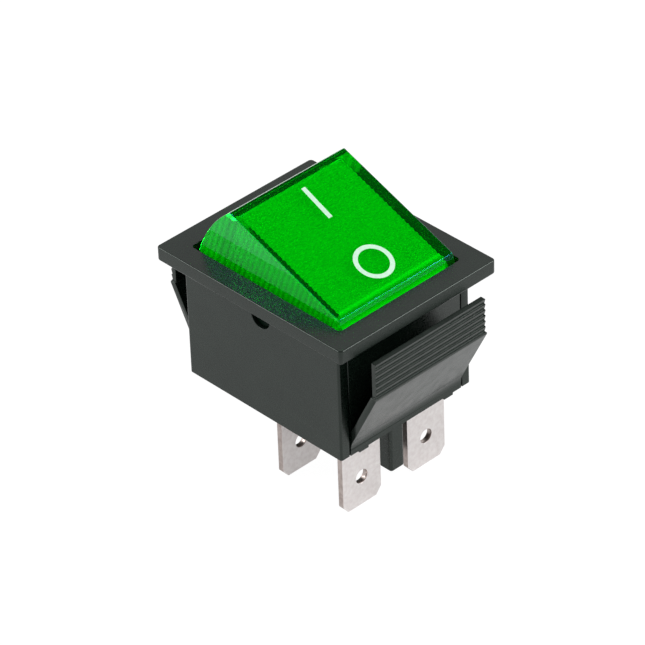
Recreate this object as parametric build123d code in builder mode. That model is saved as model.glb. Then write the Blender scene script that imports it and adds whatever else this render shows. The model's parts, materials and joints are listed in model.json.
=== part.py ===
from build123d import *
import os
from math import atan2, cos, hypot, radians, sin, sqrt, tan

os.makedirs("parts", exist_ok=True)

# A snap-in panel switch with two poles: a see-through rocker with a lamp inside it tips two
# contact bridges. +X points to the end of the rocker that is down when the switch is off, +Y
# runs along the rocker's pivot, and +Z points up out of the panel. The origin is the centre of
# the bezel's underside, the face that seats on the panel. All sizes are millimetres and degrees.

# Rocker, in its own frame: u along its top, v along the pivot, w up from the pivot
rocker_tilt = 20.5
rocker_width = 18.7
rocker_top_length = 19.0
rocker_height = 8.5
rocker_skirt_length = 24.2
rocker_skirt_height = -2.0
rocker_end_radius = 17.0
rocker_side_wall = 1.1
rocker_end_wall = 1.2
rocker_top_plate = 1.1
rocker_edge_radius = 0.18
rib_pitch = 0.77
rib_depth = 0.35
pivot_depth = 1.8
pivot_pin_diameter = 3.0
pivot_boss_radius = 3.0
boss_flank_angle = 37.0
pin_recess = 0.45

# Fits and running gaps
side_gap = 0.55
end_gap = 0.26
pin_clearance = 0.05
slide_clearance = 0.05
slot_clearance = 0.05
rivet_clearance = 0.05
contact_clearance = 0.12
bridge_gap = 0.325
plunger_clearance = 0.2
knife_clearance = 0.03
wire_clearance = 0.05

# Bezel and housing
bezel_thickness = 1.9
bezel_end_overhang = 2.58
bezel_side_overhang = 1.98
bezel_corner_radius = 0.5
bezel_edge_radius = 0.15
opening_corner_radius = 0.5
body_depth = 16.2
body_corner_radius = 0.3
upper_end_wall = 0.47
upper_side_wall = 0.87
lower_end_wall = 1.35
lower_side_wall = 1.15
wall_step_below_pivot = 4.7
floor_thickness = 1.6
partition_thickness = 1.2
skirt_clearance = 0.4
barrier_thickness = 2.3
barrier_length = 22.7
barrier_depth = 7.95
barrier_corner_radius = 0.4
barrier_edge_radius = 0.3
foot_length = 1.5
foot_width = 0.5
foot_height = 0.3
foot_inset = 3.7

# Snap wings at the two ends of the housing
wing_width = 18.45
pad_inset = 0.2
wing_reach = 4.43
wing_top_gap = 0.95
ridge_count = 6
ridge_pitch = 0.8
ridge_depth = 0.2
ridge_step = 0.1
ridge_land = 0.35
ridge_plate = 0.56
wing_heel = 0.25
wing_leaf_thickness = 0.85
wing_root_height = 1.4
wing_root_radius = 3.2
wing_slot_width = 0.22
wing_slot_depth = 0.28

# Blade terminals
blade_width = 6.3
blade_thickness = 0.8
blade_drop = 10.47
blade_tip_width = 0.85
blade_tip_height = 1.0
blade_hole_diameter = 1.9
blade_hole_height = 4.1
load_terminal_x = 10.3
shoulder_width = 7.2
shoulder_height = 1.5
shelf_width = 5.0
shelf_bend_radius = 0.4

# Contact bridges, which see-saw on the common terminals
bridge_width = 5.0
bridge_thickness = 0.5
bridge_rise = 10.0
bridge_swing = 8.0
bridge_live_arm = 9.3
bridge_rest_arm = 4.6
bridge_notch_depth = 0.75
bridge_notch_length = 1.5
bridge_ear_height = 1.5
ear_clearance = 0.1
shelf_overhang = 0.3
contact_arm = 7.6
contact_diameter = 3.0
contact_thickness = 0.6
contact_edge = 0.15
rivet_diameter = 1.4
rivet_head_diameter = 2.3
rivet_head_thickness = 0.25

# Plungers and their springs
plunger_reach = 6.4
plunger_diameter = 3.2
plunger_tip_radius = 1.2
plunger_top = 0.9
plunger_cone_height = 1.3
plunger_bore_diameter = 2.7
plunger_bore_depth = 2.6
socket_wall = 0.9
socket_bottom = 1.5
socket_roof = 0.8
spring_diameter = 2.3
spring_wire = 0.32
spring_turns = 6
wire_faces = 6

# Lamp circuit inside the rocker
lamp_height = 3.9
lamp_diameter = 3.0
lamp_length = 7.4
lamp_seal_u = -1.2
lamp_seal_length = 1.0
lamp_seal_thickness = 1.3
lamp_seal_width = 2.4
lead_wire = 0.4
lead_spacing = 1.0
resistor_diameter = 1.9
resistor_length = 4.6
resistor_waist_diameter = 1.5
resistor_cap_length = 1.1
resistor_start_u = 2.4
link_bend_u = 0.3
link_end_u = 1.3
return_lead_u = 8.0
lead_bend_radius = 0.45
lead_faces = 8
lead_overhang = 0.7
sleeve_bore = 0.56
sleeve_diameter = 1.0
sleeve_length = 2.6
sleeve_start = 1.2
cradle_thickness = 0.7
cradle_width = 4.2
cradle_clearance = 0.05
lamp_cradle_inset = 1.2
lamp_cradle_spacing = 3.2


def tilted(origin, rise):
    """A plane whose local X climbs by rise degrees towards +X, with local Y along +Y."""
    angle = radians(rise)
    return Plane(origin=origin, x_dir=(cos(angle), 0, sin(angle)), z_dir=(-sin(angle), 0, cos(angle)))


def side_on(origin, rise):
    """The upright plane of the same tilt, seen from -Y: local X as in tilted(), local Y upwards."""
    angle = radians(rise)
    return Plane(origin=origin, x_dir=(cos(angle), 0, sin(angle)), z_dir=(0, -1, 0))


def end_on(origin, rise):
    """The plane across local X of the same tilt: local X is +Y, local Y upwards."""
    angle = radians(rise)
    return Plane(origin=origin, x_dir=(0, 1, 0), z_dir=(cos(angle), 0, sin(angle)))


# Places worked out from the sizes: each pole's bridge fits beside the rocker's side wall
pole_pitch = rocker_width - 2 * (rocker_side_wall + bridge_gap) - bridge_width
sides = {"left": -pole_pitch / 2, "right": pole_pitch / 2}
tilt = radians(rocker_tilt)
pivot = Vector(0, 0, -pivot_depth)
rocker_top = tilted(pivot, -rocker_tilt)
rocker_side = side_on(pivot, -rocker_tilt)
rocker_end = end_on(pivot, -rocker_tilt)

top_u = rocker_top_length / 2
skirt_u = rocker_skirt_length / 2
end_chord = hypot(skirt_u - top_u, rocker_height - rocker_skirt_height)
centre_distance = sqrt(rocker_end_radius**2 - end_chord**2 / 4)
end_centre_u = (top_u + skirt_u) / 2 - centre_distance * (rocker_height - rocker_skirt_height) / end_chord
end_centre_w = (rocker_height + rocker_skirt_height) / 2 - centre_distance * (skirt_u - top_u) / end_chord
rocker_reach = rocker_end_radius + end_centre_u * cos(tilt) + end_centre_w * sin(tilt)
inner_radius = rocker_end_radius - rocker_end_wall
inner_skirt_u = end_centre_u + sqrt(inner_radius**2 - (rocker_skirt_height - end_centre_w) ** 2)

opening_length = 2 * (rocker_reach + end_gap)
opening_width = rocker_width + 2 * side_gap
body_length = opening_length + 2 * upper_end_wall
body_width = opening_width + 2 * upper_side_wall
bezel_length = body_length + 2 * bezel_end_overhang
bezel_width = body_width + 2 * bezel_side_overhang
floor_z = -body_depth + floor_thickness
wall_step_z = -pivot_depth - wall_step_below_pivot
skirt_low_z = -pivot_depth - skirt_u * sin(tilt) + rocker_skirt_height * cos(tilt)
partition_top_z = skirt_low_z - skirt_clearance
blade_tip_z = -body_depth - blade_drop

bridge_pivot_z = -pivot_depth - plunger_reach - plunger_clearance
cradle_z = bridge_pivot_z - bridge_thickness - knife_clearance
closed_rise = radians(bridge_rise - bridge_swing)
moving_face_z = (
    bridge_pivot_z
    + (contact_arm - contact_diameter / 2) * sin(closed_rise)
    - (bridge_thickness + contact_thickness) * cos(closed_rise)
)
fixed_contact_x = (
    contact_arm * cos(closed_rise) + (bridge_thickness + contact_thickness) * sin(closed_rise)
)
shelf_top_z = moving_face_z - contact_clearance - contact_thickness
shelf_tip_x = fixed_contact_x - contact_diameter / 2 - shelf_overhang

plate_underside = rocker_height - rocker_top_plate - rib_depth
inner_top_u = end_centre_u + sqrt(inner_radius**2 - (plate_underside - end_centre_w) ** 2)
socket_radius = plunger_diameter / 2 + slide_clearance
socket_top = plate_underside - socket_roof
lead_height = socket_top - wire_clearance - lead_wire / 2
spring_top = lead_height - lead_wire / 2 - wire_clearance
spring_base = plunger_top - plunger_bore_depth
lamp_cradle_u = lamp_seal_u - lamp_seal_length - lamp_cradle_inset
resistor_end_u = resistor_start_u + resistor_length


# Rocker cap: one clear moulding with prism ribs under its top, spring sockets and pivot pins
with BuildPart() as rocker_cap:
    with BuildSketch(rocker_side):
        with BuildLine():
            boss_u = pivot_boss_radius * cos(radians(boss_flank_angle))
            boss_w = -pivot_boss_radius * sin(radians(boss_flank_angle))
            Line((-top_u, rocker_height), (top_u, rocker_height))
            RadiusArc((top_u, rocker_height), (skirt_u, rocker_skirt_height), rocker_end_radius)
            Line((skirt_u, rocker_skirt_height), (boss_u, boss_w))
            ThreePointArc((boss_u, boss_w), (0, -pivot_boss_radius), (-boss_u, boss_w))
            Line((-boss_u, boss_w), (-skirt_u, rocker_skirt_height))
            RadiusArc((-skirt_u, rocker_skirt_height), (-top_u, rocker_height), rocker_end_radius)
        make_face()
    extrude(amount=rocker_width / 2, both=True)
    top_face = rocker_cap.faces().sort_by(Axis(pivot, rocker_top.z_dir))[-1]
    fillet(top_face.edges(), rocker_edge_radius)
    with BuildSketch(rocker_side):
        rib_count = int(2 * inner_top_u / rib_pitch)
        first_rib = -rib_count * rib_pitch / 2
        rib_line = [(-inner_top_u, plate_underside)]
        for index in range(rib_count):
            rib_line.append((first_rib + index * rib_pitch, plate_underside))
            rib_line.append((first_rib + (index + 0.5) * rib_pitch, plate_underside + rib_depth))
        rib_line.append((first_rib + rib_count * rib_pitch, plate_underside))
        rib_line.append((inner_top_u, plate_underside))
        below_boss = -pivot_boss_radius - rocker_end_wall
        with BuildLine():
            Polyline(*rib_line)
            RadiusArc((inner_top_u, plate_underside), (inner_skirt_u, rocker_skirt_height), inner_radius)
            Polyline(
                (inner_skirt_u, rocker_skirt_height),
                (inner_skirt_u, below_boss),
                (-inner_skirt_u, below_boss),
                (-inner_skirt_u, rocker_skirt_height),
            )
            RadiusArc((-inner_skirt_u, rocker_skirt_height), (-inner_top_u, plate_underside), inner_radius)
        make_face()
    extrude(amount=rocker_width / 2 - rocker_side_wall, both=True, mode=Mode.SUBTRACT)
    # Sockets for the plungers and cradles for the lamp hang from the ribbed plate
    with BuildSketch(rocker_top.offset(-socket_bottom)):
        with Locations(*[(0, pole_y) for pole_y in sides.values()]):
            Circle(socket_radius + socket_wall)
    extrude(amount=socket_bottom + plate_underside + rib_depth)
    with BuildSketch(rocker_top.offset(lamp_height)):
        with Locations(
            (lamp_cradle_u, 0),
            (lamp_cradle_u - lamp_cradle_spacing, 0),
            (resistor_start_u + resistor_length / 2, 0),
        ):
            Rectangle(cradle_thickness, cradle_width)
    extrude(amount=plate_underside + rib_depth - lamp_height)
    with BuildSketch(rocker_top.offset(-socket_bottom)):
        with Locations(*[(0, pole_y) for pole_y in sides.values()]):
            Circle(socket_radius)
    extrude(amount=socket_bottom + socket_top, mode=Mode.SUBTRACT)
    # Half-round beds of the lamp and the resistor, and slots where the leads enter the sockets
    with BuildSketch(rocker_end.offset(-inner_top_u)):
        with Locations((0, lamp_height)):
            Circle(lamp_diameter / 2 + cradle_clearance)
    extrude(amount=inner_top_u, mode=Mode.SUBTRACT)
    with BuildSketch(rocker_end):
        with Locations((0, lamp_height)):
            Circle(resistor_diameter / 2 + cradle_clearance)
    extrude(amount=resistor_end_u, mode=Mode.SUBTRACT)
    slot_width = lead_wire + 4 * wire_clearance
    slot_length = socket_radius + socket_wall + wire_clearance
    with BuildSketch(rocker_top.offset(lead_height - lead_wire / 2 - wire_clearance)):
        with Locations((0, sides["left"])):
            Rectangle(slot_width, slot_length, align=(Align.CENTER, Align.MIN))
        with Locations((0, sides["right"])):
            Rectangle(slot_length, slot_width, align=(Align.MIN, Align.CENTER))
    extrude(amount=lead_wire + 2 * wire_clearance, mode=Mode.SUBTRACT)
    # Pivot pins
    pin_length = side_gap + upper_side_wall - pin_recess
    for pin_side in (1, -1):
        with BuildSketch(rocker_side.offset(pin_side * (rocker_width / 2 - rocker_side_wall / 2))):
            Circle(pivot_pin_diameter / 2)
        extrude(amount=pin_side * (rocker_side_wall / 2 + pin_length))
rocker_cap.part.label = "rocker_cap"
export_step(rocker_cap.part, "parts/rocker_cap.step")


# Housing: bezel, body, floor, the wall between the poles and both snap wings in one moulding
with BuildPart() as housing:
    with BuildSketch(Plane.XY):
        RectangleRounded(bezel_length, bezel_width, bezel_corner_radius)
    extrude(amount=bezel_thickness)
    fillet(housing.faces().sort_by(Axis.Z)[-1].edges(), bezel_edge_radius)
    with BuildSketch(Plane.XY.offset(-body_depth)):
        RectangleRounded(body_length, body_width, body_corner_radius)
    extrude(amount=body_depth)
    with BuildSketch(Plane.XY.offset(wall_step_z)):
        RectangleRounded(opening_length, opening_width, opening_corner_radius)
    extrude(amount=bezel_thickness - wall_step_z, mode=Mode.SUBTRACT)
    with BuildSketch(Plane.XY.offset(floor_z)):
        Rectangle(body_length - 2 * lower_end_wall, body_width - 2 * lower_side_wall)
    extrude(amount=wall_step_z - floor_z, mode=Mode.SUBTRACT)
    # Wall between the two poles, inside
    with BuildSketch(Plane.XY.offset(floor_z)):
        Rectangle(body_length - 2 * lower_end_wall, partition_thickness)
    extrude(amount=partition_top_z - floor_z)
    # Barrier between the rows of blades, underneath
    with BuildSketch(Plane.XY.offset(-body_depth - barrier_depth)):
        RectangleRounded(barrier_length, barrier_thickness, barrier_corner_radius)
    extrude(amount=barrier_depth)
    fillet(housing.faces().sort_by(Axis.Z)[0].edges(), barrier_edge_radius)
    # Small feet along the lower rim
    with BuildSketch(Plane.XY.offset(-body_depth - foot_height)):
        with GridLocations(body_length - foot_width, body_width - 2 * foot_inset, 2, 2):
            Rectangle(foot_width, foot_length)
    extrude(amount=foot_height)
    # Slots in the floor for the four blades, and the pivot holes
    with BuildSketch(Plane.XY.offset(-body_depth)):
        with GridLocations(0, pole_pitch, 1, 2):
            Rectangle(blade_thickness + 2 * slot_clearance, blade_width + 2 * slot_clearance)
        with Locations((load_terminal_x, 0)):
            with GridLocations(0, pole_pitch, 1, 2):
                Rectangle(blade_thickness + 2 * slot_clearance, blade_width + 2 * slot_clearance)
    extrude(amount=floor_thickness, mode=Mode.SUBTRACT)
    with BuildSketch(side_on(pivot, 0)):
        Circle(pivot_pin_diameter / 2 + pin_clearance)
    extrude(amount=body_width, both=True, mode=Mode.SUBTRACT)
    # One snap wing, mirrored to the other end: a sloping leaf that carries a narrower ridged pad
    wall_x = body_length / 2
    ridge_x = wall_x + wing_reach
    kink_z = -wing_top_gap - ridge_count * ridge_pitch - ridge_land
    root_z = -body_depth + wing_root_height
    leaf_slope = atan2(wing_reach, kink_z - root_z)
    leaf_run = wing_leaf_thickness / cos(leaf_slope)
    root_tangent = wing_root_radius * tan(leaf_slope / 2)
    pad_x = ridge_x - ridge_depth - ridge_plate
    heel_z = kink_z + wing_heel
    ridge_line = [(ridge_x, heel_z)]
    for index in range(ridge_count, 0, -1):
        ledge_z = -wing_top_gap - index * ridge_pitch
        ridge_line.append((ridge_x, ledge_z))
        ridge_line.append((ridge_x - ridge_depth, ledge_z + ridge_step))
    ridge_line.append((ridge_x, -wing_top_gap))
    ridge_line += [(pad_x, -wing_top_gap), (pad_x, heel_z), (ridge_x, heel_z)]
    with BuildSketch(Plane.XZ) as pad_profile:
        with BuildLine():
            Polyline(*ridge_line)
        make_face()
    extrude(amount=wing_width / 2 - pad_inset, both=True)
    with BuildSketch(Plane.XZ) as leaf_profile:
        with BuildLine():
            tangent_point = (wall_x + root_tangent * sin(leaf_slope), root_z + root_tangent * cos(leaf_slope))
            Line((wall_x - lower_end_wall / 2, root_z - root_tangent), (wall_x, root_z - root_tangent))
            RadiusArc((wall_x, root_z - root_tangent), tangent_point, wing_root_radius)
            Polyline(
                tangent_point,
                (ridge_x, kink_z),
                (ridge_x, heel_z),
                (ridge_x - leaf_run + wing_heel * tan(leaf_slope), heel_z),
                (wall_x, root_z + leaf_run / tan(leaf_slope)),
                (wall_x - lower_end_wall / 2, root_z + leaf_run / tan(leaf_slope)),
                (wall_x - lower_end_wall / 2, root_z - root_tangent),
            )
        make_face()
    extrude(amount=wing_width / 2, both=True)
    with BuildSketch(Plane.XZ):
        add(pad_profile.sketch.mirror(Plane.YZ))
    extrude(amount=wing_width / 2 - pad_inset, both=True)
    with BuildSketch(Plane.XZ):
        add(leaf_profile.sketch.mirror(Plane.YZ))
    extrude(amount=wing_width / 2, both=True)
    # Grooves in the end walls beside the roots of the wings
    with BuildSketch(Plane.XY):
        with GridLocations(body_length, wing_width + wing_slot_width, 2, 2):
            Rectangle(2 * wing_slot_depth, wing_slot_width)
    extrude(amount=-body_depth, mode=Mode.SUBTRACT)
housing.part.label = "housing"
export_step(housing.part, "parts/housing.step")


def blade_outline(centre_y, top_z, top_width):
    """Corner points of a terminal seen along X: chamfered blade, shoulders, and the part inside."""
    half = [
        (blade_width / 2 - blade_tip_width, blade_tip_z),
        (blade_width / 2, blade_tip_z + blade_tip_height),
        (blade_width / 2, floor_z),
        (shoulder_width / 2, floor_z),
        (shoulder_width / 2, floor_z + shoulder_height),
        (top_width / 2, floor_z + shoulder_height),
        (top_width / 2, top_z),
    ]
    right = [(centre_y + y, z) for y, z in half]
    left = [(centre_y - y, z) for y, z in reversed(half)]
    return right + left + right[:1]


for side, pole_y in sides.items():
    # Common terminal: its top is the cradle that the bridge rocks in, between two ears
    with BuildPart() as common_terminal:
        with BuildSketch(Plane.YZ.offset(-blade_thickness / 2)):
            with BuildLine():
                Polyline(*blade_outline(pole_y, cradle_z + bridge_ear_height, blade_width))
            make_face()
            with Locations((pole_y, cradle_z)):
                cradle_opening = bridge_width - 2 * bridge_notch_depth + 2 * ear_clearance
                Rectangle(
                    cradle_opening,
                    bridge_ear_height,
                    align=(Align.CENTER, Align.MIN),
                    mode=Mode.SUBTRACT,
                )
            with Locations((pole_y, blade_tip_z + blade_hole_height)):
                Circle(blade_hole_diameter / 2, mode=Mode.SUBTRACT)
        extrude(amount=blade_thickness)
    common_terminal.part.label = f"common_terminal_{side}"
    export_step(common_terminal.part, f"parts/common_terminal_{side}.step")

    # Load terminal: its top is bent inwards to a shelf for the fixed contact
    with BuildPart() as load_terminal:
        with BuildSketch(Plane.YZ.offset(load_terminal_x - blade_thickness / 2)):
            with BuildLine():
                bend_z = shelf_top_z - blade_thickness - shelf_bend_radius
                Polyline(*blade_outline(pole_y, bend_z, shelf_width))
            make_face()
            with Locations((pole_y, blade_tip_z + blade_hole_height)):
                Circle(blade_hole_diameter / 2, mode=Mode.SUBTRACT)
        extrude(amount=blade_thickness)
        with BuildSketch(Plane.XZ.offset(-pole_y)):
            with BuildLine():
                outer_x = load_terminal_x + blade_thickness / 2
                outer_bend = shelf_bend_radius + blade_thickness
                Line((outer_x, bend_z), (outer_x - blade_thickness, bend_z))
                RadiusArc(
                    (outer_x - blade_thickness, bend_z),
                    (outer_x - outer_bend, shelf_top_z - blade_thickness),
                    -shelf_bend_radius,
                )
                Polyline(
                    (outer_x - outer_bend, shelf_top_z - blade_thickness),
                    (shelf_tip_x, shelf_top_z - blade_thickness),
                    (shelf_tip_x, shelf_top_z),
                    (outer_x - outer_bend, shelf_top_z),
                )
                RadiusArc((outer_x - outer_bend, shelf_top_z), (outer_x, bend_z), outer_bend)
            make_face()
        extrude(amount=shelf_width / 2, both=True)
        with BuildSketch(Plane.XY.offset(shelf_top_z)):
            with Locations((fixed_contact_x, pole_y)):
                Circle(rivet_diameter / 2 + rivet_clearance)
        extrude(amount=-blade_thickness, mode=Mode.SUBTRACT)
    load_terminal.part.label = f"load_terminal_{side}"
    export_step(load_terminal.part, f"parts/load_terminal_{side}.step")

    # Fixed contact: a rivet through the shelf
    with BuildPart() as fixed_contact:
        with BuildSketch(Plane.XY.offset(shelf_top_z)):
            with Locations((fixed_contact_x, pole_y)):
                Circle(contact_diameter / 2)
        extrude(amount=contact_thickness)
        chamfer(fixed_contact.edges().sort_by(Axis.Z)[-1], contact_edge)
        with BuildSketch(Plane.XY.offset(shelf_top_z - blade_thickness)):
            with Locations((fixed_contact_x, pole_y)):
                Circle(rivet_diameter / 2)
        extrude(amount=blade_thickness)
        with BuildSketch(Plane.XY.offset(shelf_top_z - blade_thickness)):
            with Locations((fixed_contact_x, pole_y)):
                Circle(rivet_head_diameter / 2)
        extrude(amount=-rivet_head_thickness)
    fixed_contact.part.label = f"fixed_contact_{side}"
    export_step(fixed_contact.part, f"parts/fixed_contact_{side}.step")

    # Contact bridge: a strip bent to a shallow V that rocks about the crease in its top face,
    # with its round underside in the cradle and notches that pass the ears
    crease = Vector(0, pole_y, bridge_pivot_z)
    live_arm = tilted(crease, bridge_swing + bridge_rise)
    with BuildPart() as contact_bridge:
        with BuildSketch(side_on(crease, bridge_swing)):
            with BuildLine():
                arm_slope = tan(radians(bridge_rise))
                bend_u = bridge_thickness * sin(radians(bridge_rise))
                bend_w = -bridge_thickness * cos(radians(bridge_rise))
                live_end = bridge_live_arm * arm_slope
                rest_end = bridge_rest_arm * arm_slope
                Polyline(
                    (bend_u, bend_w),
                    (bridge_live_arm + bend_u, live_end + bend_w),
                    (bridge_live_arm, live_end),
                    (0, 0),
                    (-bridge_rest_arm, rest_end),
                    (-bridge_rest_arm - bend_u, rest_end + bend_w),
                    (-bend_u, bend_w),
                )
                ThreePointArc((-bend_u, bend_w), (0, -bridge_thickness), (bend_u, bend_w))
            make_face()
        extrude(amount=bridge_width / 2, both=True)
        with BuildSketch(tilted(crease, bridge_swing).offset(-2 * bridge_thickness)):
            with GridLocations(0, bridge_width, 1, 2):
                Rectangle(bridge_notch_length, 2 * bridge_notch_depth)
        extrude(amount=3 * bridge_thickness, mode=Mode.SUBTRACT)
        with BuildSketch(live_arm):
            with Locations((contact_arm, 0)):
                Circle(rivet_diameter / 2 + rivet_clearance)
        extrude(amount=-bridge_thickness, mode=Mode.SUBTRACT)
    contact_bridge.part.label = f"contact_bridge_{side}"
    export_step(contact_bridge.part, f"parts/contact_bridge_{side}.step")

    # Moving contact: a rivet under the live arm of the bridge
    with BuildPart() as moving_contact:
        with BuildSketch(live_arm.offset(-bridge_thickness)):
            with Locations((contact_arm, 0)):
                Circle(contact_diameter / 2)
        extrude(amount=-contact_thickness)
        chamfer(moving_contact.edges().sort_by(Axis(crease, live_arm.z_dir))[0], contact_edge)
        with BuildSketch(live_arm.offset(-bridge_thickness)):
            with Locations((contact_arm, 0)):
                Circle(rivet_diameter / 2)
        extrude(amount=bridge_thickness)
        with BuildSketch(live_arm):
            with Locations((contact_arm, 0)):
                Circle(rivet_head_diameter / 2)
        extrude(amount=rivet_head_thickness)
    moving_contact.part.label = f"moving_contact_{side}"
    export_step(moving_contact.part, f"parts/moving_contact_{side}.step")

    # Plunger: round nose, cone, shank, and a bore that holds the foot of its spring
    socket_centre = Vector(0, pole_y, -pivot_depth)
    with BuildPart() as plunger:
        with BuildSketch(side_on(socket_centre, -rocker_tilt)):
            with BuildLine():
                nose_w = -plunger_reach + plunger_tip_radius
                nose_arc = plunger_tip_radius * sqrt(0.5)
                Polyline(
                    (0, spring_base),
                    (plunger_bore_diameter / 2, spring_base),
                    (plunger_bore_diameter / 2, plunger_top),
                    (plunger_diameter / 2, plunger_top),
                    (plunger_diameter / 2, nose_w + plunger_cone_height),
                    (plunger_tip_radius, nose_w),
                )
                ThreePointArc(
                    (plunger_tip_radius, nose_w),
                    (nose_arc, nose_w - nose_arc),
                    (0, -plunger_reach),
                )
                Line((0, -plunger_reach), (0, spring_base))
            make_face()
        revolve(axis=Axis(socket_centre, rocker_top.z_dir))
    plunger.part.label = f"plunger_{side}"
    export_step(plunger.part, f"parts/plunger_{side}.step")

    # Plunger spring
    with BuildPart() as plunger_spring:
        spring_height = spring_top - spring_base - spring_wire - wire_clearance
        spring_foot = socket_centre + rocker_top.z_dir * (spring_base + (spring_wire + wire_clearance) / 2)
        with BuildLine() as coil:
            Helix(
                pitch=spring_height / spring_turns,
                height=spring_height,
                radius=(spring_diameter - spring_wire) / 2,
                center=spring_foot,
                direction=rocker_top.z_dir,
            )
        with BuildSketch(Plane(origin=coil.line @ 0, z_dir=coil.line % 0)):
            RegularPolygon(spring_wire / 2, wire_faces)
        sweep(is_frenet=True)
    plunger_spring.part.label = f"plunger_spring_{side}"
    export_step(plunger_spring.part, f"parts/plunger_spring_{side}.step")


# Neon lamp along the rocker: domed glass with a flattened seal where its leads come out
with BuildPart() as neon_lamp:
    with BuildSketch(rocker_side):
        with BuildLine():
            glass_end = lamp_seal_u - lamp_seal_length
            dome_u = lamp_seal_u - lamp_length + lamp_diameter / 2
            Polyline(
                (dome_u - lamp_diameter / 2, lamp_height),
                (glass_end, lamp_height),
                (glass_end, lamp_height + lamp_diameter / 2),
                (dome_u, lamp_height + lamp_diameter / 2),
            )
            RadiusArc(
                (dome_u, lamp_height + lamp_diameter / 2),
                (dome_u - lamp_diameter / 2, lamp_height),
                -lamp_diameter / 2,
            )
        make_face()
    revolve(axis=Axis(pivot + rocker_top.z_dir * lamp_height, rocker_top.x_dir))
    with BuildSketch(rocker_end.offset(glass_end)):
        with Locations((0, lamp_height)):
            Rectangle(lamp_seal_width, lamp_seal_thickness)
    extrude(amount=lamp_seal_length)
neon_lamp.part.label = "neon_lamp"
export_step(neon_lamp.part, "parts/neon_lamp.step")

# Series resistor: a waisted body between two end caps
with BuildPart() as lamp_resistor:
    with BuildSketch(rocker_side):
        with BuildLine():
            cap_half = resistor_diameter / 2
            waist_half = resistor_waist_diameter / 2
            Polyline(
                (resistor_start_u, lamp_height),
                (resistor_start_u, lamp_height + cap_half),
                (resistor_start_u + resistor_cap_length, lamp_height + cap_half),
                (resistor_start_u + resistor_cap_length, lamp_height + waist_half),
                (resistor_end_u - resistor_cap_length, lamp_height + waist_half),
                (resistor_end_u - resistor_cap_length, lamp_height + cap_half),
                (resistor_end_u, lamp_height + cap_half),
                (resistor_end_u, lamp_height),
                (resistor_start_u, lamp_height),
            )
        make_face()
    revolve(axis=Axis(pivot + rocker_top.z_dir * lamp_height, rocker_top.x_dir))
lamp_resistor.part.label = "lamp_resistor"
export_step(lamp_resistor.part, "parts/lamp_resistor.step")


def lead_points(points):
    """Points given along, across and above the rocker's frame, as places in the switch's frame."""
    return [rocker_top.from_local_coords(Vector(*point)) for point in points]


lead_routes = {
    "lamp_lead_left": [
        (lamp_seal_u, -lead_spacing / 2, lamp_height),
        (0, -lead_spacing / 2, lamp_height),
        (0, -lead_spacing / 2, lead_height),
        (0, sides["left"] - lead_overhang, lead_height),
    ],
    "lamp_link_wire": [
        (lamp_seal_u, lead_spacing / 2, lamp_height),
        (link_bend_u, lead_spacing / 2, lamp_height),
        (link_end_u, 0, lamp_height),
        (resistor_start_u, 0, lamp_height),
    ],
    "lamp_lead_right": [
        (resistor_end_u, 0, lamp_height),
        (return_lead_u, 0, lamp_height),
        (return_lead_u, 0, lead_height),
        (return_lead_u, sides["right"], lead_height),
        (-lead_overhang, sides["right"], lead_height),
    ],
}
for lead_name, route in lead_routes.items():
    with BuildPart() as lead:
        with BuildLine() as lead_path:
            FilletPolyline(*lead_points(route), radius=lead_bend_radius)
        with BuildSketch(Plane(origin=lead_path.line @ 0, z_dir=lead_path.line % 0)):
            RegularPolygon(lead_wire / 2, lead_faces)
        sweep()
    lead.part.label = lead_name
    export_step(lead.part, f"parts/{lead_name}.step")

# Insulating sleeve on the lead that comes back from the resistor
with BuildPart() as lead_sleeve:
    sleeve_foot = rocker_top.from_local_coords(Vector(return_lead_u, sleeve_start, lead_height))
    with BuildSketch(Plane(origin=sleeve_foot, z_dir=(0, 1, 0))):
        Circle(sleeve_diameter / 2)
        Circle(sleeve_bore / 2, mode=Mode.SUBTRACT)
    extrude(amount=sleeve_length)
lead_sleeve.part.label = "lead_sleeve"
export_step(lead_sleeve.part, "parts/lead_sleeve.step")
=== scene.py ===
"""Dresses a lit two-pole panel rocker switch: a black snap-in housing with a see-through green rocker."""

import json
import logging
import math
from dataclasses import dataclass, field
from enum import Enum
from typing import Callable

import bmesh
import bpy
from mathutils import Matrix, Vector


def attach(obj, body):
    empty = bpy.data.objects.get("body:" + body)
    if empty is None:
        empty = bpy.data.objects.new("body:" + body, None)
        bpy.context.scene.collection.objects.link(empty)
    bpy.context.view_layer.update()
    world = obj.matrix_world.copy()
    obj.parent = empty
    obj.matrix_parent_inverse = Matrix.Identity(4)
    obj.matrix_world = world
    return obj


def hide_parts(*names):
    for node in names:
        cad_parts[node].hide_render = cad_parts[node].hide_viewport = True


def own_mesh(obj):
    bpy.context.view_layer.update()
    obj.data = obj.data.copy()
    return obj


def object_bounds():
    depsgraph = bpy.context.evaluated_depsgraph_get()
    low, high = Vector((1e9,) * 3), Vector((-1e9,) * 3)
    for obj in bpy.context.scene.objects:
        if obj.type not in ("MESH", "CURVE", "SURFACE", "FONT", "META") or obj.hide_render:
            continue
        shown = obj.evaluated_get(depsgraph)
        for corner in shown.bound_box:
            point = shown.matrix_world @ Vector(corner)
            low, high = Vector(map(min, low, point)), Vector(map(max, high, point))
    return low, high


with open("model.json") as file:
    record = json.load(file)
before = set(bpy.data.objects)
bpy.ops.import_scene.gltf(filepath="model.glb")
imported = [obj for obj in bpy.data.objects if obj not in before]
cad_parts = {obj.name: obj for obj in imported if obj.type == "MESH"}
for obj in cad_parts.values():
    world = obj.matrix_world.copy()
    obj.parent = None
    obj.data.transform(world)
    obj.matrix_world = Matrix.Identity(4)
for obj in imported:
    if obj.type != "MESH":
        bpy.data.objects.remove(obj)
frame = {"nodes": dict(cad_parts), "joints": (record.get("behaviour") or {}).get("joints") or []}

MM = 0.001
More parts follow.
